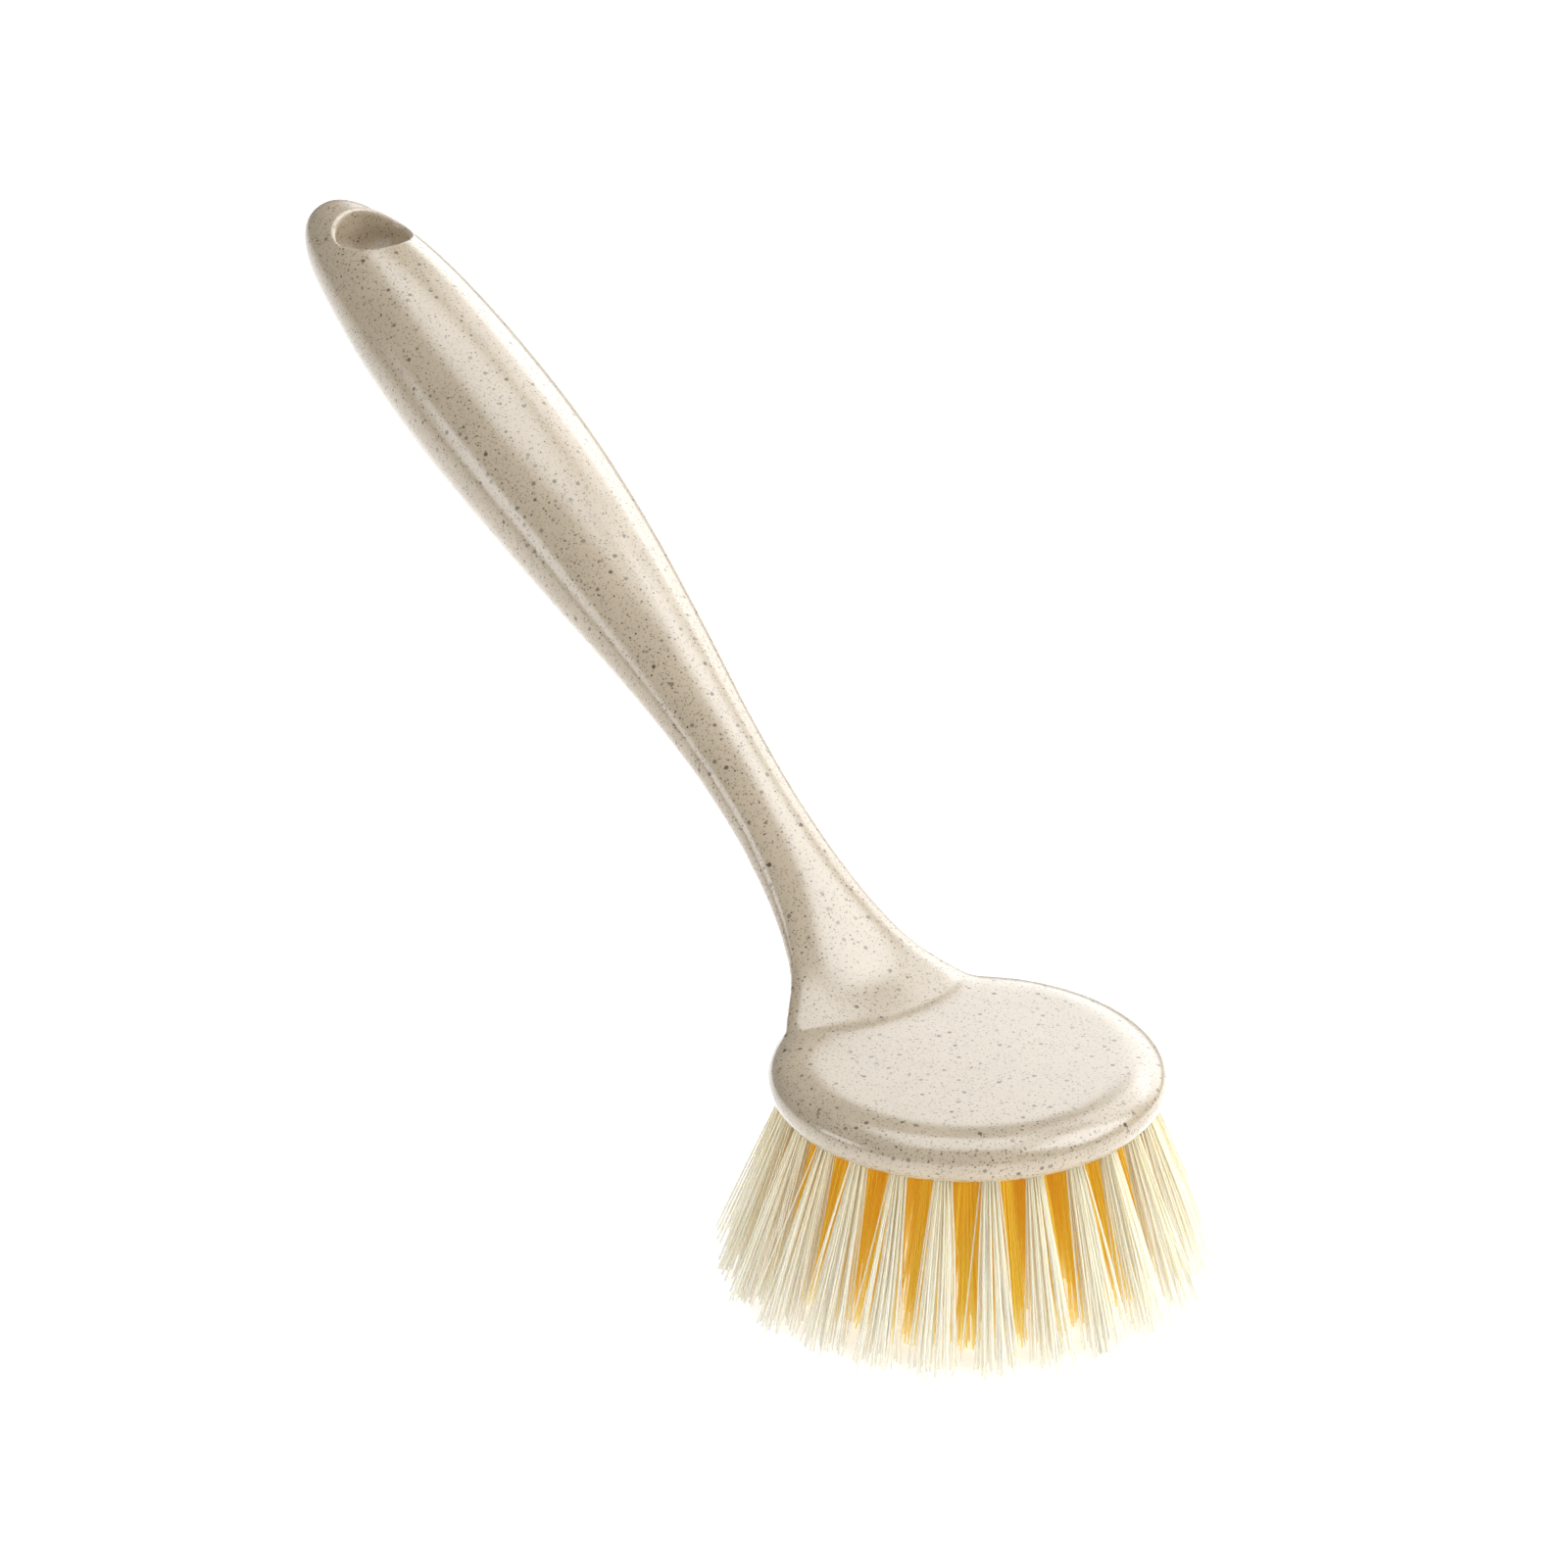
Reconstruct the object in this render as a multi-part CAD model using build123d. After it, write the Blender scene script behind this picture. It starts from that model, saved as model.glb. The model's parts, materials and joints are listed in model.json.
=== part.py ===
"""Dish brush: one moulded body with a round head, a curved neck and a fat grip, filled with
stapled tufts. Millimetres. The origin lies on the head's axis, in the plane that the bristle
tips stand on. +Z goes up through the head, and the handle runs towards -X."""

import math
import os

from build123d import *

# Head: a round disc with a soft rim
head_diameter = 70.0
head_thickness = 8.0
top_rounding = 8.0
bottom_rounding = 3.0

# Handle: its centre line and its sections
handle_reach = 203.5
handle_rise = 96.5
grip_width = 29.7
grip_depth = 25.3
neck_width = 14.6
neck_depth = 12.6
root_width = 41.0
root_cover = 0.8
shoulder_angle = 28.0
crease_angle = 9.0
neck_blend = 0.9
end_rounding = 3.4
sections_between = 3

# Hanging hole through the end of the grip
hole_diameter = 13.4
hole_chamfer = 0.5
hole_set_back = 17.0
hole_lean = 14.0
cutter_overrun = 20.0

# Tufts: rings of sockets whose axes spread from one point above the head
bristle_height = 33.0
outer_ring_radius = 30.2
outer_tip_radius = 40.4
socket_diameter = 3.0
socket_depth = 5.7
socket_sides = 8
socket_overrun = 1.0

# Plug of a tuft: the folded root of its filaments, packed in the socket
plug_clearance = 0.1
fold_thickness = 0.6

# Strands of a tuft: thick stand-ins for its bundle of fine filaments
strand_radius = 0.42
strand_sides = 3
strand_embedded = 0.6
strand_root_circle = 0.84
white_tip_circle = 3.7
orange_tip_circle = 2.9
ragged_length = 1.8
tips_trimmed = 0.5
turn_share = 0.38
ragged_share = 0.37
spread_wobble_share = 0.06

# Flat wire anchors that hold the folded tufts in their sockets
anchor_thickness = 0.35
anchor_height = 1.8
anchor_clearance = 0.05

# Rings from the rim inwards, evenly spaced. Each: name, tufts, half pitches turned, strands round
# the middle one, circle that they reach at the tips, and whether the tufts are separate pieces
rings = [
    ("white_tuft", 24, 0, 5, white_tip_circle, True),
    ("orange_tuft", 24, 1, 4, orange_tip_circle, True),
    ("third_ring_tufts", 12, 0, 4, orange_tip_circle, False),
    ("fourth_ring_tufts", 6, 1, 4, orange_tip_circle, False),
    ("centre_tuft", 1, 0, 4, orange_tip_circle, False),
]

# Stations along the handle, as shares of its reach from the head's axis and of its rise from the
# head's middle. In the flare, which starts inside the head: how far the width and the depth have
# gone from root to neck, and the share of the full crease
flare_shares = [
    (0.080, 0.000, 0.10, 0.00, 0.0),
    (0.123, 0.020, 0.00, 0.45, 0.0),
    (0.149, 0.043, 0.25, 0.74, 0.0),
    (0.175, 0.085, 0.58, 0.79, 0.2),
    (0.202, 0.131, 0.78, 0.88, 0.6),
    (0.236, 0.185, 0.91, 0.96, 1.0),
    (0.267, 0.233, 0.97, 0.98, 1.0),
]
# In the grip: how far the section has swelled from neck to grip, and the share of the full crease
grip_shares = [
    (0.302, 0.286, 0.00, 1.0),
    (0.365, 0.376, 0.08, 1.0),
    (0.446, 0.482, 0.36, 1.0),
    (0.537, 0.587, 0.69, 0.9),
    (0.633, 0.687, 0.93, 0.4),
    (0.730, 0.776, 1.00, 0.0),
]
# At the end: the section's share of the full grip
end_shares = [
    (0.825, 0.863, 0.94),
    (0.897, 0.928, 0.80),
    (0.946, 0.962, 0.63),
    (0.979, 0.983, 0.41),
]

head_radius = head_diameter / 2
underside = bristle_height
head_middle = underside + head_thickness / 2
root_depth = head_thickness - 2 * root_cover
socket_radius = socket_diameter / 2
plug_depth = socket_depth - plug_clearance
anchor_reach = socket_radius * math.cos(math.pi / socket_sides) - anchor_clearance
floor_size = 4 * outer_tip_radius
spread_rate = (outer_tip_radius - outer_ring_radius) / outer_ring_radius
spread_height = bristle_height / spread_rate


def head():
    """The disc: a revolved half section with a flat top and an elliptical rim."""
    top = underside + head_thickness
    half = head_thickness / 2
    flat_radius = head_radius - top_rounding
    with BuildPart() as disc:
        with BuildSketch(Plane.XZ):
            with BuildLine():
                Line((0, underside), (head_radius - bottom_rounding, underside))
                EllipticalCenterArc(
                    (head_radius - bottom_rounding, head_middle), bottom_rounding, half, -90, arc_size=90
                )
                EllipticalCenterArc((flat_radius, head_middle), top_rounding, half, 0, arc_size=90)
                Line((flat_radius, top), (0, top))
                Line((0, top), (0, underside))
            make_face()
        revolve(axis=Axis.Z)
    return disc.part


def turned(x, y, degrees):
    """A flat vector turned anticlockwise."""
    c = math.cos(math.radians(degrees))
    s = math.sin(math.radians(degrees))
    return x * c - y * s, x * s + y * c


def oval_quarter(half_width, half_depth, start, end, turn_in, turn_out):
    """One Bezier stretch of an oval. Its end tangents are turned where it meets a crease."""
    a = math.radians(start)
    b = math.radians(end)
    reach = 4 / 3 * math.tan((b - a) / 4)
    p0 = (half_width * math.cos(a), half_depth * math.sin(a))
    p3 = (half_width * math.cos(b), half_depth * math.sin(b))
    t0 = turned(-half_width * math.sin(a), half_depth * math.cos(a), turn_in)
    t3 = turned(-half_width * math.sin(b), half_depth * math.cos(b), turn_out)
    p1 = (p0[0] + reach * t0[0], p0[1] + reach * t0[1])
    p2 = (p3[0] - reach * t3[0], p3[1] - reach * t3[1])
    return Bezier(p0, p1, p2, p3)


def oval_section(centre, direction, half_width, half_depth, crease):
    """A cross section of the handle: an upper arch and a lower bowl that meet at two shoulders."""
    low = shoulder_angle
    high = 180 - shoulder_angle
    edge = crease * crease_angle
    with BuildSketch(Plane(origin=centre, x_dir=(0, -1, 0), z_dir=direction)) as section:
        with BuildLine():
            oval_quarter(half_width, half_depth, low, 90, edge, 0)
            oval_quarter(half_width, half_depth, 90, high, 0, -edge)
            oval_quarter(half_width, half_depth, high, 270, edge, 0)
            oval_quarter(half_width, half_depth, 270, 360 + low, 0, -edge)
        make_face()
    return section.sketch.faces()[0]


def stations():
    """Each station of the handle: place along, place up, width, depth and crease."""
    for along, up, wide, deep, crease in flare_shares:
        width = root_width + (neck_width - root_width) * wide
        depth = root_depth + (neck_depth - root_depth) * deep
        yield along, up, width, depth, crease
    for along, up, swell, crease in grip_shares:
        width = neck_width + (grip_width - neck_width) * swell
        depth = neck_depth + (grip_depth - neck_depth) * swell
        yield along, up, width, depth, crease
    for along, up, size in end_shares:
        yield along, up, grip_width * size, grip_depth * size, 0


def between(rows):
    """The rows with more of them in between, on a smooth curve through the given ones."""
    closer = []
    for index in range(len(rows) - 1):
        before = rows[max(index - 1, 0)]
        after = rows[min(index + 2, len(rows) - 1)]
        for step in range(sections_between):
            t = step / sections_between
            row = []
            for a, b, c, d in zip(before, rows[index], rows[index + 1], after):
                bend = 2 * a - 5 * b + 4 * c - d + t * (3 * b - a - 3 * c + d)
                row.append(b + (c - a + t * bend) * t / 2)
            closer.append(row)
    return closer + [rows[-1]]


def handle():
    """Neck and grip: smooth lofts at the flare and the end, and a ruled one through close
    sections between them."""
    places = between(list(stations()))
    centres = [
        Vector(-along * handle_reach, 0, head_middle + up * handle_rise)
        for along, up, width, depth, crease in places
    ]
    line = Spline(*centres)
    sections = []
    for centre, (along, up, width, depth, crease) in zip(centres, places):
        direction = line.tangent_at(line.param_at_point(centre))
        sections.append(oval_section(centre, direction, width / 2, depth / 2, max(crease, 0)))
    neck = sections_between * (len(flare_shares) - 1)
    last = sections_between * (len(flare_shares) + len(grip_shares))
    flare = loft(sections[: neck + 1 : sections_between])
    grip = loft(sections[neck : last + 1], ruled=True)
    end = loft(sections[last::sections_between])
    end_face = end.faces().sort_by(Axis.X)[0]
    end = end.fillet(end_rounding, end_face.edges())
    return flare.fuse(grip, end), line


def ring_places(order):
    """Where a ring's tufts leave the underside: flat vectors from the head's axis."""
    name, count, half_turns, strands, tip_circle, separate = rings[order]
    radius = outer_ring_radius * (1 - order / (len(rings) - 1))
    places = []
    for index in range(count):
        angle = 2 * math.pi / count * (index + half_turns / 2)
        places.append((radius * math.cos(angle), radius * math.sin(angle)))
    return places


def all_places():
    """The places of all tufts, from the outer ring to the middle one."""
    return [place for order in range(len(rings)) for place in ring_places(order)]


def seat_plane(place):
    """The frame of a tuft: at the mouth of its socket, with +Z along the tuft towards its tips."""
    mouth = Vector(place[0], place[1], underside)
    spread_point = Vector(0, 0, underside + spread_height)
    across = Vector(-place[1], place[0], 0)
    if across.length == 0:
        across = Vector(0, 1, 0)
    return Plane(origin=mouth, x_dir=across, z_dir=mouth - spread_point)


def hanging_hole(line):
    """The cutter of the hole through the grip, centred on the handle's centre line."""
    station = Plane(origin=(hole_set_back - handle_reach, 0, 0), z_dir=(1, 0, 0))
    centre = line.intersect(station)[0].center()
    lean = math.radians(hole_lean)
    frame = Plane(origin=centre, x_dir=(0, 1, 0), z_dir=(math.sin(lean), 0, math.cos(lean)))
    return frame * Cylinder(hole_diameter / 2, grip_depth + cutter_overrun)


def prism(seat, radius, depth, length):
    """A many-sided peg along a tuft's axis, which starts at a depth inside the head."""
    return extrude(seat * Pos(0, 0, -depth) * RegularPolygon(radius, socket_sides), length)


def brush_body():
    """Head, neck and grip as one moulding, with its hanging hole and its tuft sockets."""
    disc = head()
    arm, line = handle()
    body = disc + arm
    body = body.fillet(neck_blend, new_edges(disc, arm, combined=body))
    hole = hanging_hole(line)
    drilled = body - hole
    rims = new_edges(body, hole, combined=drilled)
    drilled = drilled.chamfer(hole_chamfer, None, rims)
    length = socket_depth + socket_overrun
    sockets = [
        prism(seat_plane(place), socket_radius, socket_depth, length) for place in all_places()
    ]
    return drilled - sockets


def strand(start, end, across):
    """One strand: a straight loft between two small polygons."""
    sections = [
        Plane(origin=point, x_dir=across, z_dir=end - start)
        * RegularPolygon(strand_radius, strand_sides)
        for point in (start, end)
    ]
    return loft(sections)


def anchor_block(seat, clearance):
    """The space of a flat anchor across the socket, near its floor, grown by a clearance."""
    centre = fold_thickness + anchor_height / 2 - plug_depth
    return seat * Pos(0, 0, centre) * Box(
        2 * (anchor_reach + clearance),
        anchor_thickness + 2 * clearance,
        anchor_height + 2 * clearance,
    )


def tuft(place, strands, tip_circle, number):
    """A tuft: its plug in the socket and the strands that fan out of it down to the floor."""
    seat = seat_plane(place)
    across = seat.x_dir
    outward = Vector(seat.y_dir.X, seat.y_dir.Y, 0).normalized()
    plug = prism(seat, socket_radius - plug_clearance, plug_depth, plug_depth)
    plug = plug - anchor_block(seat, anchor_clearance)
    tip_centre = Vector(place[0], place[1], 0) * (1 + spread_rate)
    pieces = []
    for index in range(strands + 1):
        ring = min(index, 1)
        angle = 2 * math.pi * (index / strands + number * turn_share)
        near = ring * strand_root_circle
        far = ring * tip_circle * (1 - spread_wobble_share * ((index * number) % 3))
        start = seat.from_local_coords(
            Vector(near * math.cos(angle), near * math.sin(angle), -strand_embedded)
        )
        tip = tip_centre + across * (far * math.cos(angle)) + outward * (far * math.sin(angle))
        heading = (tip - start).normalized()
        shortened = ragged_length * ((index * (number + 1) * ragged_share) % 1) * (index % 2)
        end = tip + heading * ((shortened - tips_trimmed) / heading.Z)
        pieces.append(strand(start, end, across))
    fused = plug.fuse(*pieces)
    floor = Box(floor_size, floor_size, floor_size, align=(Align.CENTER, Align.CENTER, Align.MAX))
    return fused - floor


def anchors():
    """Every tuft's anchor: a short flat wire that stands across its socket, in the fold."""
    return Compound(children=[anchor_block(seat_plane(place), 0) for place in all_places()])


def save(piece, name):
    export_step(piece, f"parts/{name}.step")


os.makedirs("parts", exist_ok=True)
save(brush_body(), "brush_body")
save(anchors(), "tuft_anchors")
for order, (name, count, half_turns, strands, tip_circle, separate) in enumerate(rings):
    tufts = [
        tuft(place, strands, tip_circle, number)
        for number, place in enumerate(ring_places(order))
    ]
    if separate:
        for number, piece in enumerate(tufts):
            save(piece, f"{name}_{number + 1:02d}")
    else:
        save(Compound(children=tufts), name)
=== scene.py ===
"""Dish brush: the finished look of a speckled, glossy brush with rings of white and orange tufts.

Metres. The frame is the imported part's own: the origin lies on the head's axis, in the plane that
the bristle tips stand on, +Z goes up through the head, and the handle runs towards -X."""

import json
import math
import random

import bmesh
import bpy
from bpy.props import FloatProperty, FloatVectorProperty, IntProperty, PointerProperty
from mathutils import Matrix, Vector


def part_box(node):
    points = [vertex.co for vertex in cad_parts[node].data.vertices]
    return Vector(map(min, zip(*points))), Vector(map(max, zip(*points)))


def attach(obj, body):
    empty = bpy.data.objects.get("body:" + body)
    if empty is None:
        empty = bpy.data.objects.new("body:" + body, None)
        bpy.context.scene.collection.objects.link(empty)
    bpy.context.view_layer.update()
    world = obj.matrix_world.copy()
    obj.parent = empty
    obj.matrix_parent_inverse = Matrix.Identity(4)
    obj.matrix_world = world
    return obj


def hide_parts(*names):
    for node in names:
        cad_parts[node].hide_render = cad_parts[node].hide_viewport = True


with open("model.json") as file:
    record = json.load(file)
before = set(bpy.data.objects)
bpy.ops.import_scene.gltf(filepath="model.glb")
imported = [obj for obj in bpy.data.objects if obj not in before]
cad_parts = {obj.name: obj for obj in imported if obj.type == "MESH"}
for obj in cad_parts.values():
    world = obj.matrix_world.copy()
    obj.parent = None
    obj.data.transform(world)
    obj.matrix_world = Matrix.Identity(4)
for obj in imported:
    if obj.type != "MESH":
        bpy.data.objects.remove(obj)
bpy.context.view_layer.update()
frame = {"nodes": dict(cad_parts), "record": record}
MOUNTS = {mount["name"]: mount for mount in frame["record"]["mounts"]}

bl_info = {
    "name": "Dish Brush",
    "version": (1, 0, 0),
    "blender": (4, 5, 0),
    "location": "View3D > Sidebar > Dish Brush",
    "description": "Models a dish brush with a moulded body and splayed tufts of filaments",
    "category": "Add Mesh",
}

MM = 0.001

# Head: its underside is the lowest place of the body, and its rim reaches furthest along +X
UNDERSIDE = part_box("brush_body")[0].z
HEAD_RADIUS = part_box("brush_body")[1].x
HEAD_THICKNESS = 8.0 * MM
TOP_ROUNDING = 8.0 * MM
BOTTOM_ROUNDING = 3.0 * MM
RIM_STEPS = 10
HEAD_SIDES = 128

# Handle: places along it as shares of its reach and of its rise from the head's middle, with width
# and depth in millimetres, and how much of the full shoulder crease it has there
HEAD_MIDDLE = UNDERSIDE + HEAD_THICKNESS / 2
HANDLE_REACH = 203.5 * MM
HANDLE_RISE = 96.5 * MM
STATIONS = [
    (0.080, 0.000, 38.4, 6.4, 0.0),
    (0.123, 0.020, 41.0, 9.2, 0.0),
    (0.149, 0.043, 34.4, 11.0, 0.0),
    (0.175, 0.085, 25.7, 11.3, 0.2),
    (0.202, 0.131, 20.4, 11.9, 0.6),
    (0.236, 0.185, 17.0, 12.4, 1.0),
    (0.267, 0.233, 15.4, 12.5, 1.0),
    (0.302, 0.286, 14.6, 12.6, 1.0),
    (0.365, 0.376, 15.8, 13.6, 1.0),
    (0.446, 0.482, 20.0, 17.2, 1.0),
    (0.537, 0.587, 25.0, 21.4, 0.9),
    (0.633, 0.687, 28.6, 24.4, 0.4),
    (0.730, 0.776, 29.7, 25.3, 0.0),
    (0.825, 0.863, 27.9, 23.8, 0.0),
    (0.897, 0.928, 23.8, 20.2, 0.0),
    (0.946, 0.962, 18.7, 15.9, 0.0),
    (0.974, 0.983, 13.2, 11.2, 0.0),
    (0.985, 0.989, 8.4, 7.1, 0.0),
    (0.989, 0.991, 3.6, 3.0, 0.0),
]
SECTION_SIDES = 52
SECTIONS_BETWEEN = 3
SHOULDER_STEPS = 4
CREASE_HEIGHT = 0.9 * MM
CREASE_REACH = 5.0 * MM
CREASE_LAYERS = 4
CREASE_SHARPNESS = 0.55
CREASE_NEAR = 0.02 * MM

# Hanging hole through the end of the grip
HOLE_CENTRE = Vector(MOUNTS["hanging_hole"]["pos_m"])
HOLE_AXIS = Vector(MOUNTS["hanging_hole"]["axis"])
HOLE_RADIUS = MOUNTS["hanging_hole"]["dims"]["r_mm"] * MM
HOLE_ROUNDING = 1.0 * MM
ROUNDING_STEPS = 5
ROUNDING_SLACK = 0.01 * MM
RING_LIFT = 0.02 * MM
CUTTER_REACH = 40 * MM
CUTTER_SIDES = 96

# Sockets: rings from the rim inwards, each with its pieces' name, tufts and half pitches turned
OUTER_RING_RADIUS = 30.2 * MM
OUTER_TIP_RADIUS = 40.4 * MM
SOCKET_RADIUS = 1.5 * MM
SOCKET_DEPTH = 5.7 * MM
SOCKET_SIDES = 16
RINGS = [
    ("white_tuft", 24, 0),
    ("orange_tuft", 24, 1),
    ("third_ring_tufts", 12, 0),
    ("fourth_ring_tufts", 6, 1),
    ("centre_tuft", 1, 0),
]
SPREAD_RATE = (OUTER_TIP_RADIUS - OUTER_RING_RADIUS) / OUTER_RING_RADIUS
SPREAD_POINT = Vector((0, 0, UNDERSIDE + UNDERSIDE / SPREAD_RATE))

# Filaments of a tuft; each tuft draws its random numbers from its own seed
FILAMENT_SIDES = 5
FILAMENT_STEPS = 5
FILAMENT_BOWS = [0.0, 0.3 * MM, 0.6 * MM]
FILAMENT_ROOT_DEPTH = 3.1 * MM
BUNDLE_RADIUS = 1.2 * MM
WHITE_TIP_CIRCLE = 4.1 * MM
ORANGE_TIP_CIRCLE = 3.4 * MM
RAGGED = 2.0 * MM
TIP_JITTER = 0.45 * MM
STRAYS = 2
STRAY_REACH = 2.2 * MM
SEEDS_PER_RING = 1000
GOLDEN_ANGLE = math.pi * (3 - math.sqrt(5))

# Surface of the body
SUBDIVISIONS = 2
VOXEL = 0.54 * MM
SMOOTH_FACTOR = 0.5
SMOOTH_REPEATS = 5
SHARP_ANGLE = math.radians(50)
MERGE_DISTANCE = 0.001 * MM

# Soft blend where the flare runs out on the head: the box whose vertices are smoothed further, from
# the middle of the head's top, and the border over which that fades out
BLEND_LOW = Vector((-40, -18, -4)) * MM
BLEND_HIGH = Vector((-8, 26, 8)) * MM
BLEND_BORDER = 4 * MM
BLEND_REPEATS = 70

# Plastic of the body: its cloudy tone, its fine grain, its specks by the spacing of their pattern's
# cells, their size and the share of the cells that hold one, and the ripple of its surface
CLOUD_SIZE = 9 * MM
CLOUD_DARKEST = 0.90
CLOUD_PALEST = 1.12
GRAIN_SIZE = 0.45 * MM
GRAIN_RANGE = (0.56, 0.74)
GRAIN_STRENGTH = 0.45
SPECKS = [
    (0.55 * MM, 0.16 * MM, 0.75),
    (0.95 * MM, 0.26 * MM, 0.65),
    (2.20 * MM, 0.52 * MM, 0.50),
]
SPECK_CORE = 0.55
FAINTEST_SPECK = 0.5
BODY_ROUGHNESS = (0.16, 0.26)
RIPPLE_SIZE = 3.0 * MM
RIPPLE_DEPTH = 0.03 * MM
RIPPLE_STRENGTH = 0.25

# Plastic of the filaments: colours at the roots, darkened there as painted shade between the
# roots, and at the tips, a faint painted glow that stands in for the light that passes from
# filament to filament, the heights between which the colours change, as shares of the head's
# height, and streaks along the filaments
WHITE_ROOT_SHADE = (0.90, 0.80, 0.58)
WHITE_TIP = (0.92, 0.88, 0.78)
WHITE_GLOW = 0.05
ORANGE_ROOT_SHADE = (0.88, 0.53, 0.03)
ORANGE_TIP = (0.94, 0.78, 0.38)
ORANGE_GLOW = 0.15
ROOT_SHADE_FROM = 0.25
TIP_COLOUR_FROM = 0.30
STREAK_WIDTH = 0.5 * MM
STREAK_STRETCH = 0.06
STREAK_RANGE = (0.35, 0.65)
STREAK_STRENGTH = 0.35

# Wire of the anchors
WIRE_GRAIN = 0.2 * MM
WIRE_DARK = (0.55, 0.40, 0.16)
WIRE_BRIGHT = (0.78, 0.60, 0.28)
WIRE_ROUGHNESS = (0.25, 0.45)

# Camera, as it stood for the photograph, which is a square of 1600 pixels
PHOTO_SIDE = 1600
FOCAL_LENGTH_PIXELS = 8176
SENSOR_WIDTH = 36
CAMERA_PLACE = Vector((0.983491, -0.754659, 0.686600))
CAMERA_AZIMUTH = math.radians(53.984)
CAMERA_ELEVATION = math.radians(25.595)
CLIP_START = 0.05
CLIP_END = 20

# Lights: name, direction as parts to the picture's right, to its back and up, distance, width,
# height, radiance and whether the brush mirrors it
LIGHT_AIM = Vector((-80 * MM, 0, 60 * MM))
LIGHT_FADE = 0.3
LIGHTS = [
    ("key", (0.65, 0.00, 0.75), 1.2, 1.2, 1.2, 5.0, True),
    ("overhead", (0.00, 0.22, 1.00), 1.3, 1.1, 1.1, 3.2, True),
    ("backdrop", (0.50, 1.00, 0.42), 1.4, 2.0, 0.90, 2.8, True),
    ("haze", (0.46, 0.60, 0.64), 1.3, 0.9, 0.9, 2.4, True),
    ("left", (-0.915, -0.28, 0.32), 1.1, 0.75, 0.55, 3.5, True),
    ("front", (0.40, -1.00, 0.18), 1.3, 1.0, 0.4, 9.0, False),
]
LIGHT_COLOUR = (0.93, 0.96, 1.0)
ROOM_LIGHT = 0.15
FLOOR_SIZE = 8
FLOOR_COLOUR = (0.92, 0.92, 0.92)
FLOOR_GLOW = 0.5


class BrushSizes(bpy.types.PropertyGroup):
    """Sizes that a user may change."""

    filament_diameter: FloatProperty(
        name="Filament diameter", description="Thickness of one filament",
        default=0.33 * MM, unit="LENGTH",
    )
    filaments: IntProperty(
        name="Filaments", description="Filaments that stand in one socket", default=48,
    )


class BrushColours(bpy.types.PropertyGroup):
    """Colours that a user may change."""

    body: FloatVectorProperty(
        name="Body", description="Main colour of the speckled plastic",
        subtype="COLOR", default=(0.50, 0.41, 0.295),
    )
    speck: FloatVectorProperty(
        name="Specks", description="Colour of the plant-fibre specks in the plastic",
        subtype="COLOR", default=(0.10, 0.07, 0.04),
    )
    white_filament: FloatVectorProperty(
        name="White filaments", description="Colour of the outer tufts",
        subtype="COLOR", default=(0.96, 0.90, 0.75),
    )
    orange_filament: FloatVectorProperty(
        name="Orange filaments", description="Colour of the inner tufts",
        subtype="COLOR", default=(0.88, 0.64, 0.09),
    )


# Working with objects


def pick(*objects):
    """Selects these objects alone and makes the first of them active."""
    bpy.ops.object.select_all(action="DESELECT")
    for thing in objects:
        thing.select_set(True)
    bpy.context.view_layer.objects.active = objects[0]


def apply_place(thing):
    """Moves a thing's place, turn and scale into its mesh."""
    pick(thing)
    bpy.ops.object.transform_apply(location=True, rotation=True, scale=True)


def copy_of(thing):
    """A copy with its own mesh."""
    twin = thing.copy()
    twin.data = thing.data.copy()
    bpy.context.scene.collection.objects.link(twin)
    return twin


def turned_to(axis, place):
    """The matrix that lays +Z along an axis and puts the origin at a place."""
    return Matrix.Translation(place) @ axis.to_track_quat("Z", "Y").to_matrix().to_4x4()


def join(objects, name):
    """Makes one object of many."""
    pick(*objects)
    if len(objects) > 1:
        bpy.ops.object.join()
    whole = bpy.context.object
    whole.name = name
    whole.data.name = name
    return whole


def modify(thing, kind, **settings):
    """Adds a modifier with its settings and applies it."""
    pick(thing)
    modifier = thing.modifiers.new(kind.lower(), kind)
    for setting, value in settings.items():
        setattr(modifier, setting, value)
    bpy.ops.object.modifier_apply(modifier=modifier.name)


def cut(thing, cutter):
    """Takes the cutter's space out of a thing and deletes the cutter."""
    modify(thing, "BOOLEAN", operation="DIFFERENCE", solver="EXACT", object=cutter)
    bpy.data.objects.remove(cutter)


def select_vertices(thing, wanted):
    """In edit mode: selects the vertices that pass a test, and no others."""
    bpy.ops.mesh.select_mode(type="VERT")
    bpy.ops.mesh.select_all(action="DESELECT")
    mesh = bmesh.from_edit_mesh(thing.data)
    for vertex in mesh.verts:
        if wanted(vertex):
            vertex.select_set(True)
    mesh.select_flush(True)
    bmesh.update_edit_mesh(thing.data)


def face_outwards(thing):
    """Merges doubled vertices and turns all faces outwards."""
    pick(thing)
    bpy.ops.object.mode_set(mode="EDIT")
    bpy.ops.mesh.select_all(action="SELECT")
    bpy.ops.mesh.remove_doubles(threshold=MERGE_DISTANCE)
    bpy.ops.mesh.normals_make_consistent(inside=False)
    bpy.ops.object.mode_set(mode="OBJECT")


def finish_piece(piece, slot, material, *nodes):
    """Gives a piece its material and its place in the frame."""
    piece.data.materials.clear()
    piece.data.materials.append(material)
    apply_place(piece)
    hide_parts(*nodes)
    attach(piece, "root")


# Materials


def node_adder(tree):
    """A function that adds a node to this tree, with its settings."""

    def add(kind, **settings):
        node = tree.nodes.new(kind)
        for setting, value in settings.items():
            if setting in node.inputs:
                node.inputs[setting].default_value = value
            else:
                setattr(node, setting, value)
        return node

    return add


def new_material(name):
    """A material with its tree, its Principled shader and a function that adds nodes to it."""
    material = bpy.data.materials.new(name)
    material.use_nodes = True
    tree = material.node_tree
    return material, tree, tree.nodes["Principled BSDF"], node_adder(tree)


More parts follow.
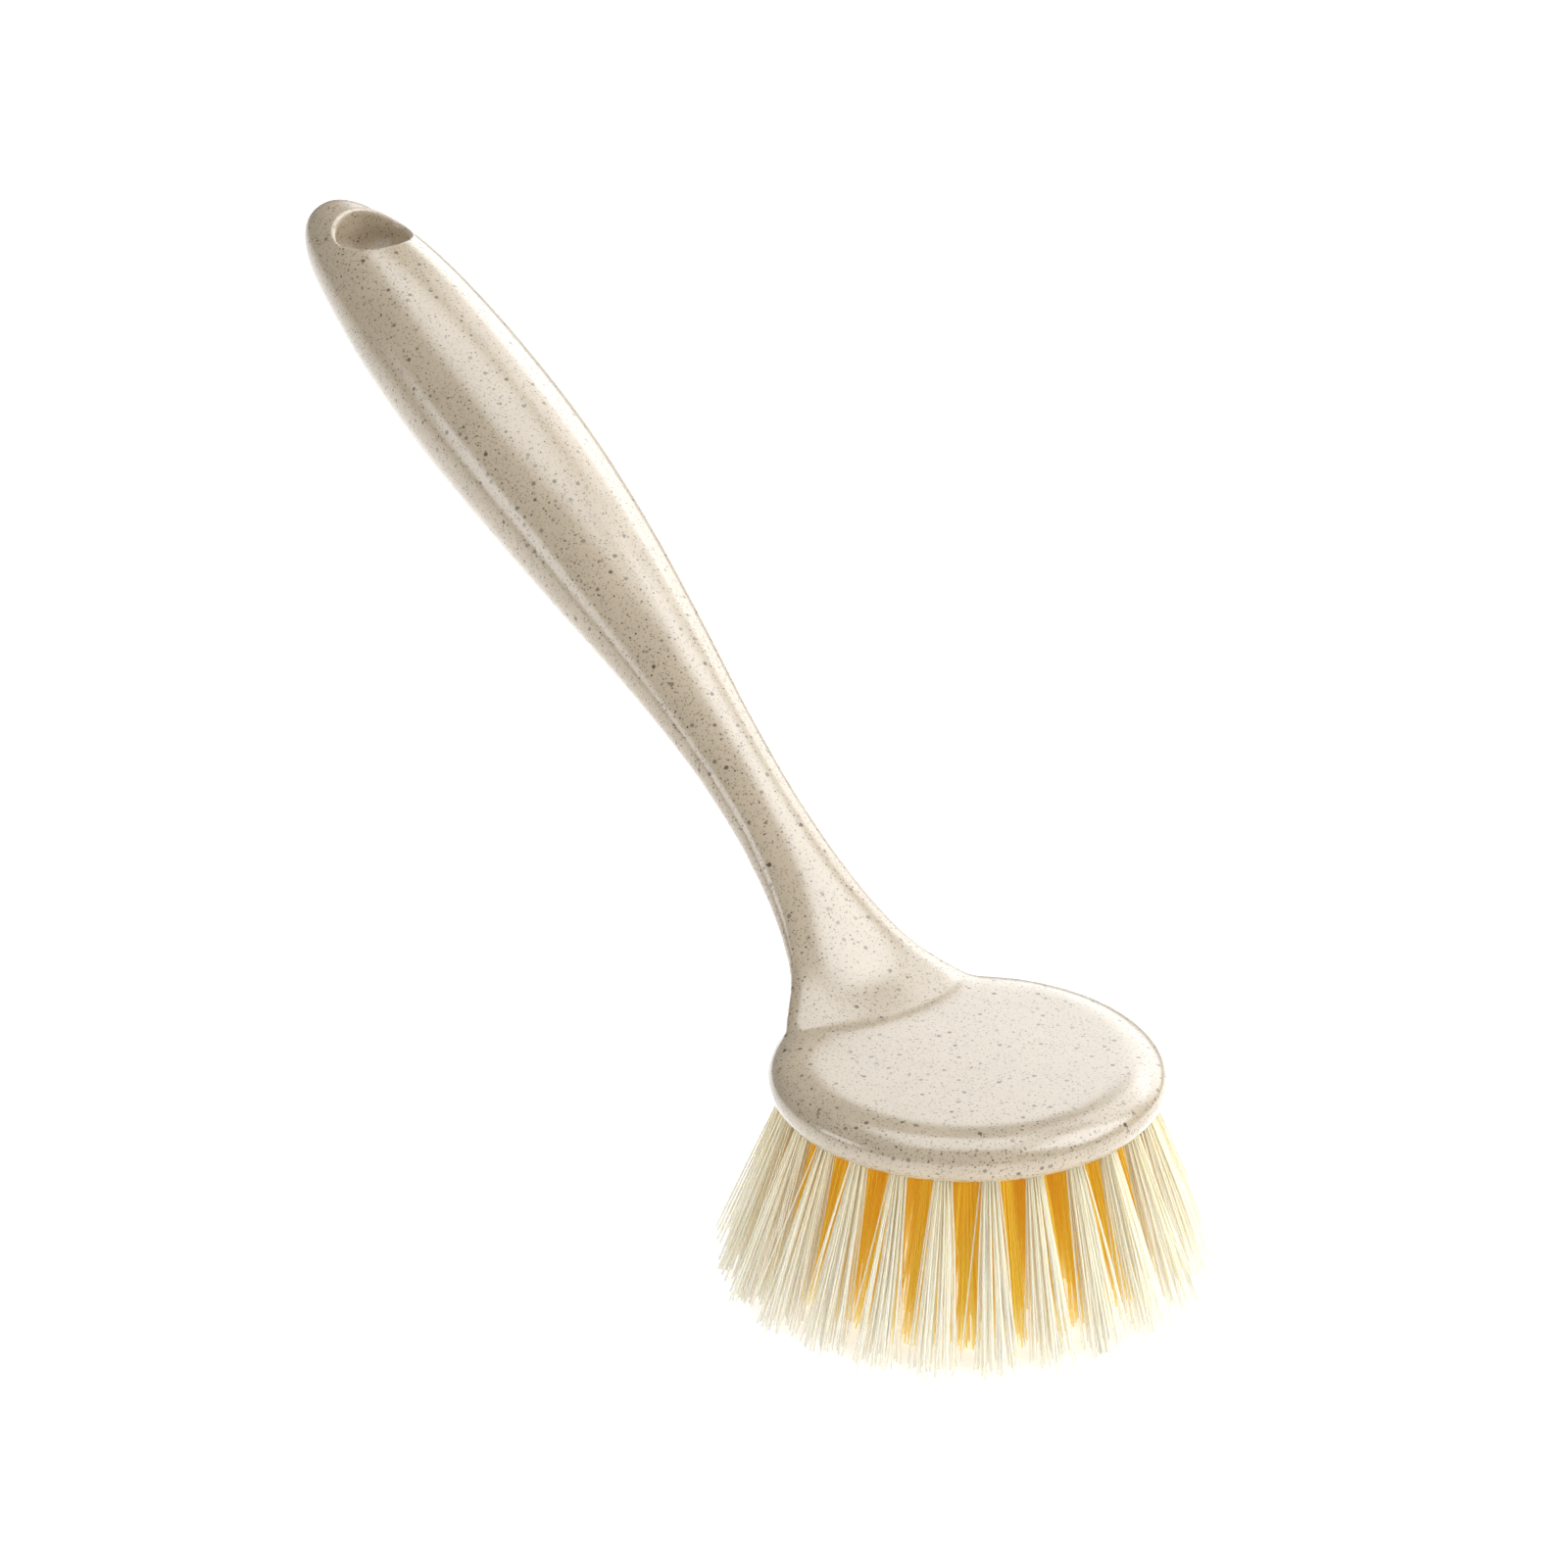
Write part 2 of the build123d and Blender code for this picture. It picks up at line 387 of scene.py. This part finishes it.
def add_range(add, tree, value, start, end, low=0.0, high=1.0, smooth=False):
    """Maps a socket's value from start and end to low and high, and keeps it between them."""
    kind = "SMOOTHSTEP" if smooth else "LINEAR"
    node = add("ShaderNodeMapRange", interpolation_type=kind)
    sockets = {"From Min": start, "From Max": end, "To Min": low, "To Max": high}
    for socket, number in sockets.items():
        node.inputs[socket].default_value = number
    tree.links.new(value, node.inputs["Value"])
    return node.outputs[0]


def add_math(add, tree, operation, *values):
    """Works out a number from sockets or fixed numbers."""
    node = add("ShaderNodeMath", operation=operation)
    for socket, value in zip(node.inputs, values):
        if isinstance(value, bpy.types.NodeSocket):
            tree.links.new(value, socket)
        else:
            socket.default_value = value
    return node.outputs[0]


def add_noise(add, tree, place, size, detail, roughness=0.5):
    """Noise with features of about this size."""
    noise = add("ShaderNodeTexNoise", Scale=1 / size, Detail=detail, Roughness=roughness)
    tree.links.new(place, noise.inputs["Vector"])
    return noise.outputs["Fac"]


def add_mix(add, tree, share, first, second):
    """Mixes two colours, each a socket or a fixed colour, by a socket's share."""
    mix = add("ShaderNodeMix", data_type="RGBA")
    tree.links.new(share, mix.inputs[0])
    for socket, colour in ((mix.inputs[6], first), (mix.inputs[7], second)):
        if isinstance(colour, bpy.types.NodeSocket):
            tree.links.new(colour, socket)
        else:
            socket.default_value = (*colour, 1)
    return mix.outputs[2]


def add_specks(add, tree, place, spacing, size, share):
    """Marks scattered specks: cells of a pattern, some of which hold a spot in their middle."""
    cells = add("ShaderNodeTexVoronoi", feature="F1", Scale=1 / spacing, Randomness=1.0)
    tree.links.new(place, cells.inputs["Vector"])
    edge = size / spacing
    spot = add_range(add, tree, cells.outputs["Distance"], edge, SPECK_CORE * edge, smooth=True)
    chosen = add("ShaderNodeSeparateColor")
    tree.links.new(cells.outputs["Color"], chosen.inputs[0])
    present = add_math(add, tree, "LESS_THAN", chosen.outputs[0], share)
    fade = add_range(add, tree, chosen.outputs[1], 0.0, 1.0, low=FAINTEST_SPECK)
    strength = add_math(add, tree, "MULTIPLY", fade, present)
    return add_math(add, tree, "MULTIPLY", spot, strength)


def speckled_plastic(colours):
    """Glossy oatmeal plastic with brown plant-fibre specks of several sizes."""
    material, tree, shader, add = new_material("speckled_oatmeal_plastic")
    place = add("ShaderNodeTexCoord").outputs["Object"]
    body = tuple(colours.body)
    speck = tuple(colours.speck)
    dark = tuple(CLOUD_DARKEST * part for part in body)
    pale = tuple(min(1.0, CLOUD_PALEST * part) for part in body)

    cloud = add_noise(add, tree, place, CLOUD_SIZE, detail=4.0, roughness=0.6)
    tone = add_mix(add, tree, cloud, dark, pale)
    grain = add_noise(add, tree, place, GRAIN_SIZE, detail=2.0)
    grainy = add_range(add, tree, grain, *GRAIN_RANGE, high=GRAIN_STRENGTH)
    tone = add_mix(add, tree, grainy, tone, speck)
    for spacing, size, share in SPECKS:
        specks = add_specks(add, tree, place, spacing, size, share)
        tone = add_mix(add, tree, specks, tone, speck)
    tree.links.new(tone, shader.inputs["Base Color"])

    dull = add_range(add, tree, cloud, 0.0, 1.0, *BODY_ROUGHNESS)
    tree.links.new(dull, shader.inputs["Roughness"])
    ripple = add_noise(add, tree, place, RIPPLE_SIZE, detail=2.0)
    bump = add("ShaderNodeBump", Strength=RIPPLE_STRENGTH, Distance=RIPPLE_DEPTH)
    tree.links.new(ripple, bump.inputs["Height"])
    tree.links.new(bump.outputs["Normal"], shader.inputs["Normal"])
    shader.inputs["IOR"].default_value = 1.52
    shader.inputs["Coat Weight"].default_value = 0.7
    shader.inputs["Coat Roughness"].default_value = 0.10
    return material


def filament_plastic(name, colour, root_shade_colour, tip_colour, glow):
    """Extruded filament plastic: painted shade between the roots, paler at the tips, with fine
    streaks.
    """
    material, tree, shader, add = new_material(name)
    place = add("ShaderNodeTexCoord").outputs["Object"]
    parts = add("ShaderNodeSeparateXYZ")
    tree.links.new(place, parts.inputs[0])
    height = parts.outputs["Z"]
    # painted shade: the colour turns to the darker root colour towards the head, where the tufts
    # shade each other
    root = add_range(add, tree, height, ROOT_SHADE_FROM * UNDERSIDE, UNDERSIDE, smooth=True)
    tone = add_mix(add, tree, root, colour, root_shade_colour)
    tip = add_range(add, tree, height, TIP_COLOUR_FROM * UNDERSIDE, 0.0, smooth=True)
    tone = add_mix(add, tree, tip, tone, tip_colour)
    stretch = add("ShaderNodeMapping", Scale=(1, 1, STREAK_STRETCH))
    tree.links.new(place, stretch.inputs["Vector"])
    streaks = add_noise(add, tree, stretch.outputs[0], STREAK_WIDTH, detail=1.0)
    fine = add_range(add, tree, streaks, *STREAK_RANGE, high=STREAK_STRENGTH)
    tone = add_mix(add, tree, fine, tone, root_shade_colour)
    tree.links.new(tone, shader.inputs["Base Color"])
    shader.inputs["Roughness"].default_value = 0.35
    shader.inputs["IOR"].default_value = 1.53
    shader.inputs["Subsurface Weight"].default_value = 0.6
    shader.inputs["Subsurface Radius"].default_value = (1.0, 0.8, 0.5)
    shader.inputs["Subsurface Scale"].default_value = 0.5 * MM
    # painted glow: the filaments give off light of their own colour, standing in for the light
    # passed between filaments
    tree.links.new(tone, shader.inputs["Emission Color"])
    shader.inputs["Emission Strength"].default_value = glow
    return material


def anchor_wire():
    """Flat brass wire, drawn along its length and a little dull."""
    material, tree, shader, add = new_material("drawn_brass_wire")
    place = add("ShaderNodeTexCoord").outputs["Object"]
    drawn = add_noise(add, tree, place, WIRE_GRAIN, detail=3.0)
    tone = add_mix(add, tree, drawn, WIRE_DARK, WIRE_BRIGHT)
    tree.links.new(tone, shader.inputs["Base Color"])
    dull = add_range(add, tree, drawn, 0.0, 1.0, *WIRE_ROUGHNESS)
    tree.links.new(dull, shader.inputs["Roughness"])
    shader.inputs["Metallic"].default_value = 1.0
    return material


# Moulded body


def between(rows, parts):
    """Rows with more of them in between, on a smooth curve through the given ones.

    Each stretch is a cubic whose slope at a row is half the step between the rows beside it."""
    finer = []
    for index in range(len(rows) - 1):
        before = rows[max(index - 1, 0)]
        after = rows[min(index + 2, len(rows) - 1)]
        for part in range(parts):
            t = part / parts
            row = []
            for a, b, c, d in zip(before, rows[index], rows[index + 1], after):
                bend = 2 * a - 5 * b + 4 * c - d + t * (3 * b - a - 3 * c + d)
                row.append(b + 0.5 * t * (c - a + t * bend))
            finer.append(tuple(row))
    finer.append(rows[-1])
    return finer


def handle_sections():
    """Centre, rise angle, width, depth and crease of each section along the handle."""
    rows = between(STATIONS, SECTIONS_BETWEEN)
    centres = [
        Vector((-along * HANDLE_REACH, 0, HEAD_MIDDLE + up * HANDLE_RISE))
        for along, up, *_ in rows
    ]
    sections = []
    for index, (_, _, width, depth, crease) in enumerate(rows):
        step = centres[min(index + 1, len(rows) - 1)] - centres[max(index - 1, 0)]
        rise = math.atan2(step.z, -step.x)
        sections.append((centres[index], rise, width * MM, depth * MM, crease))
    return sections


def shoulder_places(sections, least_crease):
    """Where the two shoulder lines cross the sections that have at least this much crease."""
    turn = 2 * math.pi * SHOULDER_STEPS / SECTION_SIDES
    places = []
    for centre, rise, width, depth, crease in sections:
        if crease < least_crease:
            continue
        up = Vector((math.sin(rise), 0, math.cos(rise)))
        for side in (-1, 1):
            across = Vector((0, side * width / 2 * math.cos(turn), 0))
            places.append(centre + across + up * (depth / 2 * math.sin(turn)))
    return places


def raise_shoulders(handle, sections):
    """Lifts a line along both shoulders that fades in and out, and keeps its top crisp."""
    layers = [
        shoulder_places(sections, (layer + 0.5) / CREASE_LAYERS) for layer in range(CREASE_LAYERS)
    ]
    indices = [
        {
            vertex.index
            for vertex in handle.data.vertices
            if any((vertex.co - place).length < CREASE_NEAR for place in places)
        }
        for places in layers
    ]
    bpy.ops.object.mode_set(mode="EDIT")
    for layer in indices:
        select_vertices(handle, lambda vertex: vertex.index in layer)
        bpy.ops.transform.shrink_fatten(
            value=CREASE_HEIGHT / CREASE_LAYERS,
            use_proportional_edit=True,
            proportional_edit_falloff="SHARP",
            proportional_size=CREASE_REACH,
        )
        bpy.ops.transform.edge_crease(value=CREASE_SHARPNESS / CREASE_LAYERS)
    bpy.ops.object.mode_set(mode="OBJECT")


def model_handle():
    """Neck and grip: an oval extruded from section to section, then creased and subdivided."""
    sections = handle_sections()
    centre, rise, width, depth, _ = sections[0]
    bpy.ops.object.select_all(action="DESELECT")
    bpy.ops.mesh.primitive_circle_add(
        vertices=SECTION_SIDES, radius=0.5, fill_type="NGON",
        location=centre, rotation=(0, math.pi / 2, 0),
    )
    handle = bpy.context.object
    apply_place(handle)
    bpy.ops.object.mode_set(mode="EDIT")
    bpy.ops.mesh.select_all(action="SELECT")
    bpy.ops.transform.resize(value=(1, width, depth), center_override=centre)
    bpy.ops.transform.rotate(value=-rise, orient_axis="Y", center_override=centre)
    for next_centre, next_rise, next_width, next_depth, _ in sections[1:]:
        bpy.ops.transform.rotate(value=rise, orient_axis="Y", center_override=centre)
        bpy.ops.mesh.extrude_region_move(TRANSFORM_OT_translate={"value": next_centre - centre})
        bpy.ops.transform.resize(
            value=(1, next_width / width, next_depth / depth), center_override=next_centre
        )
        bpy.ops.transform.rotate(value=-next_rise, orient_axis="Y", center_override=next_centre)
        centre, rise, width, depth = next_centre, next_rise, next_width, next_depth
    bpy.ops.object.mode_set(mode="OBJECT")
    face_outwards(handle)
    raise_shoulders(handle, sections)
    modify(handle, "SUBSURF", levels=SUBDIVISIONS, render_levels=SUBDIVISIONS)
    return handle


def model_head():
    """Round disc: a circle extruded upwards through both roundings of its rim."""
    half = HEAD_THICKNESS / 2
    rim = []
    for step in range(RIM_STEPS + 1):
        turn = math.pi / 2 * step / RIM_STEPS
        radius = HEAD_RADIUS - BOTTOM_ROUNDING * (1 - math.sin(turn))
        rim.append((radius, UNDERSIDE + half * (1 - math.cos(turn))))
    for step in range(1, RIM_STEPS + 1):
        turn = math.pi / 2 * step / RIM_STEPS
        radius = HEAD_RADIUS - TOP_ROUNDING * (1 - math.cos(turn))
        rim.append((radius, UNDERSIDE + half * (1 + math.sin(turn))))
    bpy.ops.object.select_all(action="DESELECT")
    bpy.ops.mesh.primitive_circle_add(
        vertices=HEAD_SIDES, radius=rim[0][0], fill_type="NGON", location=(0, 0, rim[0][1])
    )
    head = bpy.context.object
    apply_place(head)
    bpy.ops.object.mode_set(mode="EDIT")
    bpy.ops.mesh.select_all(action="SELECT")
    for (radius, height), (next_radius, next_height) in zip(rim, rim[1:]):
        bpy.ops.mesh.extrude_region_move(
            TRANSFORM_OT_translate={"value": (0, 0, next_height - height)}
        )
        grow = next_radius / radius
        bpy.ops.transform.resize(value=(grow, grow, 1), center_override=(0, 0, next_height))
    bpy.ops.object.mode_set(mode="OBJECT")
    face_outwards(head)
    return head


def ring_places(order):
    """Middle of each socket of a ring, on the underside of the head."""
    _, count, half_pitches = RINGS[order]
    radius = OUTER_RING_RADIUS * (1 - order / (len(RINGS) - 1))
    places = []
    for index in range(count):
        turn = 2 * math.pi * (index + half_pitches / 2) / count
        places.append(Vector((radius * math.cos(turn), radius * math.sin(turn), UNDERSIDE)))
    return places


def socket_cutters():
    """All sockets: one blind cylinder modelled once and copied along each tuft's axis."""
    bpy.ops.object.select_all(action="DESELECT")
    bpy.ops.mesh.primitive_cylinder_add(
        vertices=SOCKET_SIDES, radius=SOCKET_RADIUS, depth=2 * SOCKET_DEPTH
    )
    pattern = bpy.context.object
    cutters = []
    for order in range(len(RINGS)):
        for place in ring_places(order):
            cutter = copy_of(pattern)
            cutter.matrix_world = turned_to((SPREAD_POINT - place).normalized(), place)
            cutters.append(cutter)
    bpy.data.objects.remove(pattern)
    cutters = join(cutters, "socket_cutters")
    apply_place(cutters)
    return cutters


def hole_mouth(body, side):
    """Cutter of one mouth of the upright hole: a ring laid on the body and rolled over inwards."""
    bpy.ops.object.select_all(action="DESELECT")
    radius = HOLE_RADIUS + HOLE_ROUNDING
    bpy.ops.mesh.primitive_circle_add(
        vertices=CUTTER_SIDES, radius=radius, location=(0, 0, side * CUTTER_REACH)
    )
    mouth = bpy.context.object
    apply_place(mouth)
    modify(
        mouth, "SHRINKWRAP", target=body, wrap_method="PROJECT", use_project_z=True,
        use_negative_direction=side > 0, use_positive_direction=side < 0,
    )
    bpy.ops.object.mode_set(mode="EDIT")
    bpy.ops.mesh.select_all(action="SELECT")
    bpy.ops.transform.translate(value=(0, 0, side * RING_LIFT))
    depth = 0
    for step in range(1, ROUNDING_STEPS + 1):
        turn = math.pi / 2 * step / ROUNDING_STEPS
        next_radius = HOLE_RADIUS + HOLE_ROUNDING * (1 - math.sin(turn))
        next_depth = HOLE_ROUNDING * (1 - math.cos(turn))
        bpy.ops.mesh.extrude_region_move(
            TRANSFORM_OT_translate={"value": (0, 0, side * (depth - next_depth))}
        )
        grow = next_radius / radius
        bpy.ops.transform.resize(value=(grow, grow, 1), center_override=(0, 0, 0))
        radius, depth = next_radius, next_depth
    bpy.ops.object.mode_set(mode="OBJECT")
    return mouth


def drill_hanging_hole(body):
    """Cuts the hanging hole with its rounded rims, while the body is held with the hole upright."""
    body.matrix_world = turned_to(HOLE_AXIS, HOLE_CENTRE).inverted()
    bpy.context.view_layer.update()
    cutter = join([hole_mouth(body, 1), hole_mouth(body, -1)], "hole_cutter")
    bpy.ops.object.mode_set(mode="EDIT")
    reach = HOLE_RADIUS + ROUNDING_SLACK
    select_vertices(cutter, lambda vertex: Vector(vertex.co[:2]).length < reach)
    bpy.ops.mesh.bridge_edge_loops()
    reach = HOLE_RADIUS + HOLE_ROUNDING - ROUNDING_SLACK
    for side in (1, -1):
        select_vertices(
            cutter,
            lambda vertex: vertex.co.z * side > 0 and Vector(vertex.co[:2]).length > reach,
        )
        bpy.ops.mesh.extrude_region_move(
            TRANSFORM_OT_translate={"value": (0, 0, side * HOLE_RADIUS)}
        )
        bpy.ops.mesh.edge_face_add()
    bpy.ops.object.mode_set(mode="OBJECT")
    face_outwards(cutter)
    cut(body, cutter)
    body.matrix_world = Matrix.Identity(4)


def blend_flare(body):
    """Softens the inner corner between the flare and the top of the head."""
    top = Vector((0, 0, UNDERSIDE + HEAD_THICKNESS))
    low = top + BLEND_LOW
    high = top + BLEND_HIGH
    group = body.vertex_groups.new(name="blend")
    for vertex in body.data.vertices:
        inside = min(min(v - a, b - v) for a, v, b in zip(low, vertex.co, high))
        if inside > 0:
            group.add([vertex.index], min(inside / BLEND_BORDER, 1), "REPLACE")
    modify(
        body, "SMOOTH", factor=SMOOTH_FACTOR, iterations=BLEND_REPEATS, vertex_group=group.name
    )
    body.vertex_groups.clear()


def model_body():
    """Handle and head as one moulding, with its hanging hole and its sockets."""
    body = join([model_handle(), model_head()], "moulded_body")
    modify(body, "REMESH", mode="VOXEL", voxel_size=VOXEL, use_smooth_shade=True)
    modify(body, "SMOOTH", factor=SMOOTH_FACTOR, iterations=SMOOTH_REPEATS)
    blend_flare(body)
    drill_hanging_hole(body)
    cut(body, socket_cutters())
    pick(body)
    bpy.ops.object.shade_smooth_by_angle(angle=SHARP_ANGLE)
    return body


# Tufts


def model_filament(diameter, length, bow):
    """One filament, standing on the origin, with a slight bow towards +X."""
    bpy.ops.object.select_all(action="DESELECT")
    bpy.ops.mesh.primitive_circle_add(
        vertices=FILAMENT_SIDES, radius=diameter / 2, fill_type="NGON"
    )
    filament = bpy.context.object
    bpy.ops.object.mode_set(mode="EDIT")
    bpy.ops.mesh.select_all(action="SELECT")
    bowed = [
        bow * math.sin(math.pi * step / FILAMENT_STEPS) for step in range(FILAMENT_STEPS + 1)
    ]
    for start, end in zip(bowed, bowed[1:]):
        bpy.ops.mesh.extrude_region_move(
            TRANSFORM_OT_translate={"value": (end - start, 0, length / FILAMENT_STEPS)}
        )
    bpy.ops.object.mode_set(mode="OBJECT")
    face_outwards(filament)
    pick(filament)
    bpy.ops.object.shade_smooth()
    return filament


def tuft_filaments(patterns, length, place, count, tip_circle, strays, chance):
    """Copies of the filament patterns, packed at the root and fanned out to the tips."""
    axis = (place - SPREAD_POINT).normalized()
    root_centre = place - axis * FILAMENT_ROOT_DEPTH
    tip_centre = place + axis * (UNDERSIDE / -axis.z)
    filaments = []
    for index in range(count):
        spread = math.sqrt((index + 0.5) / count)
        turn = GOLDEN_ANGLE * index
        aside = Vector((math.cos(turn), math.sin(turn), 0)) * spread
        root = root_centre + aside * BUNDLE_RADIUS
        wander = Vector((chance.gauss(0, 1), chance.gauss(0, 1), 0)) * TIP_JITTER
        tip = tip_centre + aside * tip_circle + wander
        if index >= count - strays:
            tip += aside * STRAY_REACH * chance.random()
        tip.z = RAGGED * chance.random() ** 2
        run = tip - root
        filament = copy_of(chance.choice(patterns))
        spin = Matrix.Rotation(chance.uniform(0, 2 * math.pi), 4, "Z")
        stretch = Matrix.Diagonal((1, 1, run.length / length, 1))
        filament.matrix_world = turned_to(run, root) @ spin @ stretch
        filaments.append(filament)
    return filaments


def model_ring(order, sizes, tip_circle, material, slot):
    """The tufts of a ring: a piece for each one, or one for the ring if its node holds all."""
    name = RINGS[order][0]
    length = UNDERSIDE + FILAMENT_ROOT_DEPTH
    patterns = [model_filament(sizes.filament_diameter, length, bow) for bow in FILAMENT_BOWS]
    separate = name not in frame["nodes"]
    whole = []
    for index, place in enumerate(ring_places(order)):
        chance = random.Random(SEEDS_PER_RING * order + index)
        filaments = tuft_filaments(
            patterns, length, place, sizes.filaments, tip_circle, STRAYS, chance
        )
        if separate:
            node = f"{name}_{index + 1:02d}"
            piece = join(filaments, f"{node}_filaments")
            finish_piece(piece, slot, material, node)
        else:
            whole += filaments
    if whole:
        piece = join(whole, f"{name}_filaments")
        finish_piece(piece, slot, material, name)
    for pattern in patterns:
        bpy.data.objects.remove(pattern)


# Stage


def add_edge_fade(add, tree):
    """The share of its radiance that a light has at each place, down to nothing at its edges."""
    place = add("ShaderNodeNewGeometry")
    parts = add("ShaderNodeSeparateXYZ")
    tree.links.new(place.outputs["Parametric"], parts.inputs[0])
    shares = []
    for axis in (0, 1):
        from_edge = add_math(add, tree, "PINGPONG", parts.outputs[axis], 0.5)
        shares.append(add_range(add, tree, from_edge, 0.0, LIGHT_FADE, smooth=True))
    return add_math(add, tree, "MULTIPLY", *shares)


def add_light(name, direction, distance, width, height, radiance, mirrored):
    """Soft rectangular light that looks at the brush and fades out towards its own edges."""
    data = bpy.data.lights.new(name, "AREA")
    data.shape = "RECTANGLE"
    data.size = width
    data.size_y = height
    data.energy = math.pi * width * height * radiance
    data.color = LIGHT_COLOUR
    data.use_nodes = True
    tree = data.node_tree
    emission = next(node for node in tree.nodes if node.type == "EMISSION")
    tree.links.new(add_edge_fade(node_adder(tree), tree), emission.inputs["Strength"])
    light = bpy.data.objects.new(name, data)
    light.visible_glossy = mirrored
    right = Vector((math.cos(CAMERA_AZIMUTH), math.sin(CAMERA_AZIMUTH), 0))
    back = Vector((-math.sin(CAMERA_AZIMUTH), math.cos(CAMERA_AZIMUTH), 0))
    way = right * direction[0] + back * direction[1] + Vector((0, 0, direction[2]))
    light.location = LIGHT_AIM + way.normalized() * distance
    light.rotation_euler = way.to_track_quat("Z", "Y").to_euler()
    bpy.context.scene.collection.objects.link(light)


def add_camera():
    """Camera at the photograph's place, upright, with the photograph's direction and lens."""
    data = bpy.data.cameras.new("camera")
    data.sensor_width = SENSOR_WIDTH
    data.lens = FOCAL_LENGTH_PIXELS / PHOTO_SIDE * SENSOR_WIDTH
    data.clip_start = CLIP_START
    data.clip_end = CLIP_END
    camera = bpy.data.objects.new("camera", data)
    level = math.cos(CAMERA_ELEVATION)
    back = Vector((
        math.sin(CAMERA_AZIMUTH) * level,
        -math.cos(CAMERA_AZIMUTH) * level,
        math.sin(CAMERA_ELEVATION),
    ))
    camera.location = CAMERA_PLACE
    camera.rotation_euler = (-back).to_track_quat("-Z", "Y").to_euler()
    bpy.context.scene.collection.objects.link(camera)
    bpy.context.scene.camera = camera


def add_floor():
    """Wide plain floor under the tips."""
    bpy.ops.object.select_all(action="DESELECT")
    bpy.ops.mesh.primitive_plane_add(size=FLOOR_SIZE)
    floor = bpy.context.object
    floor.name = "floor"
    material, _, shader, _ = new_material("pale_floor")
    shader.inputs["Base Color"].default_value = (*FLOOR_COLOUR, 1)
    shader.inputs["Roughness"].default_value = 0.9
    shader.inputs["Specular IOR Level"].default_value = 0.0
    shader.inputs["Emission Color"].default_value = (1, 1, 1, 1)
    shader.inputs["Emission Strength"].default_value = FLOOR_GLOW
    floor.data.materials.append(material)


def add_lights():
    """The soft lights and a dim room round them."""
    for light in LIGHTS:
        add_light(*light)
    world = bpy.data.worlds.new("studio")
    world.use_nodes = True
    world.node_tree.nodes["Background"].inputs["Color"].default_value = (1, 1, 1, 1)
    world.node_tree.nodes["Background"].inputs["Strength"].default_value = ROOM_LIGHT
    bpy.context.scene.world = world
    bpy.context.scene.view_settings.view_transform = "Standard"


# Operators, one for each piece or group of like pieces and one for the stage


class BRUSH_OT_body(bpy.types.Operator):
    """Model the moulded body: head, neck and grip."""

    bl_idname = "brush.body"
    bl_label = "Moulded body"

    def execute(self, context):
        body = model_body()
        finish_piece(
            body, "body_plastic", speckled_plastic(context.scene.brush_colours), "brush_body"
        )
        return {"FINISHED"}


class BRUSH_OT_white_tufts(bpy.types.Operator):
    """Model the outer ring of white tufts."""

    bl_idname = "brush.white_tufts"
    bl_label = "White tufts"

    def execute(self, context):
        colour = tuple(context.scene.brush_colours.white_filament)
        material = filament_plastic("white_filament", colour, WHITE_ROOT_SHADE, WHITE_TIP, WHITE_GLOW)
        model_ring(0, context.scene.brush_sizes, WHITE_TIP_CIRCLE, material, "white_filament")
        return {"FINISHED"}


class BRUSH_OT_orange_tufts(bpy.types.Operator):
    """Model the inner rings of orange tufts."""

    bl_idname = "brush.orange_tufts"
    bl_label = "Orange tufts"

    def execute(self, context):
        colour = tuple(context.scene.brush_colours.orange_filament)
        material = filament_plastic(
            "orange_filament", colour, ORANGE_ROOT_SHADE, ORANGE_TIP, ORANGE_GLOW
        )
        for order in range(1, len(RINGS)):
            model_ring(
                order, context.scene.brush_sizes, ORANGE_TIP_CIRCLE, material, "orange_filament"
            )
        return {"FINISHED"}


class BRUSH_OT_anchors(bpy.types.Operator):
    """Give the wire anchors in the sockets their finish."""

    bl_idname = "brush.anchors"
    bl_label = "Wire anchors"

    def execute(self, context):
        anchors = frame["nodes"]["tuft_anchors"]
        anchors.data.materials.clear()
        anchors.data.materials.append(anchor_wire())
        return {"FINISHED"}


class BRUSH_OT_stage(bpy.types.Operator):
    """Set up the camera, the floor and the studio light."""

    bl_idname = "brush.stage"
    bl_label = "Stage"

    def execute(self, context):
        add_camera()
        add_floor()
        add_lights()
        return {"FINISHED"}


OPERATORS = (
    BRUSH_OT_body,
    BRUSH_OT_white_tufts,
    BRUSH_OT_orange_tufts,
    BRUSH_OT_anchors,
    BRUSH_OT_stage,
)


class BRUSH_PT_panel(bpy.types.Panel):
    """Sidebar panel with the brush's sizes, colours and pieces."""

    bl_idname = "BRUSH_PT_panel"
    bl_label = "Dish Brush"
    bl_space_type = "VIEW_3D"
    bl_region_type = "UI"
    bl_category = "Dish Brush"

    def draw(self, context):
        for group in (context.scene.brush_sizes, context.scene.brush_colours):
            for name in group.bl_rna.properties.keys():
                if name not in ("rna_type", "name"):
                    self.layout.prop(group, name)
        for operator in OPERATORS:
            self.layout.operator(operator.bl_idname)


CLASSES = (BrushSizes, BrushColours, *OPERATORS, BRUSH_PT_panel)


def register():
    for one in CLASSES:
        bpy.utils.register_class(one)
    bpy.types.Scene.brush_sizes = PointerProperty(type=BrushSizes)
    bpy.types.Scene.brush_colours = PointerProperty(type=BrushColours)


def unregister():
    del bpy.types.Scene.brush_colours
    del bpy.types.Scene.brush_sizes
    for one in reversed(CLASSES):
        bpy.utils.unregister_class(one)


def main():
    register()
    bpy.ops.brush.body()
    bpy.ops.brush.white_tufts()
    bpy.ops.brush.orange_tufts()
    bpy.ops.brush.anchors()
    bpy.ops.brush.stage()


if __name__ == "__main__":
    main()
